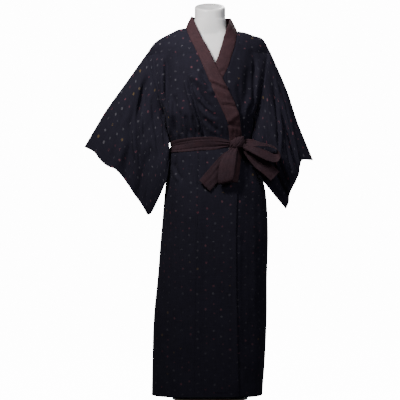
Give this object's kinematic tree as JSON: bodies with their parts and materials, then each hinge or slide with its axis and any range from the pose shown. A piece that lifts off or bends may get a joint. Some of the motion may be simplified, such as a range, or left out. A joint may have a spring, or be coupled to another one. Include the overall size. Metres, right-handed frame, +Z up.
{
  "type": "kimono on a dress form",
  "caption": "Wrapped ankle-length cotton kimono with a banded collar and a soft tie belt in a bow, worn on a limbless dress form with a pole and a round foot.",
  "frame": {"origin": "middle of the round foot's underside, on the floor", "axes": "+Z up along the pole, -Y to the garment's front, +X to the wearer's left"},
  "size_m": [0.843, 0.3202, 1.4687],
  "materials": {
    "cotton": "matt woven cotton, dark navy with small printed flecks",
    "trim": "matt woven cotton, maroon brown",
    "shell": "glossy white shell",
    "steel": "satin steel"
  },
  "bodies": {
    "root": {"body_right": "cotton", "body_left": "cotton", "okumi_right": "cotton", "okumi_left": "cotton", "sleeve_right": "cotton", "sleeve_left": "cotton", "collar": "trim", "belt_band": "trim", "belt_knot": "trim", "belt_loop_hanging": "trim", "belt_end_hanging": "trim", "belt_loop_side": "trim", "belt_end_side": "trim", "form_shell": "shell", "form_pole": "steel", "form_foot": "steel"}
  },
  "joints": []
}
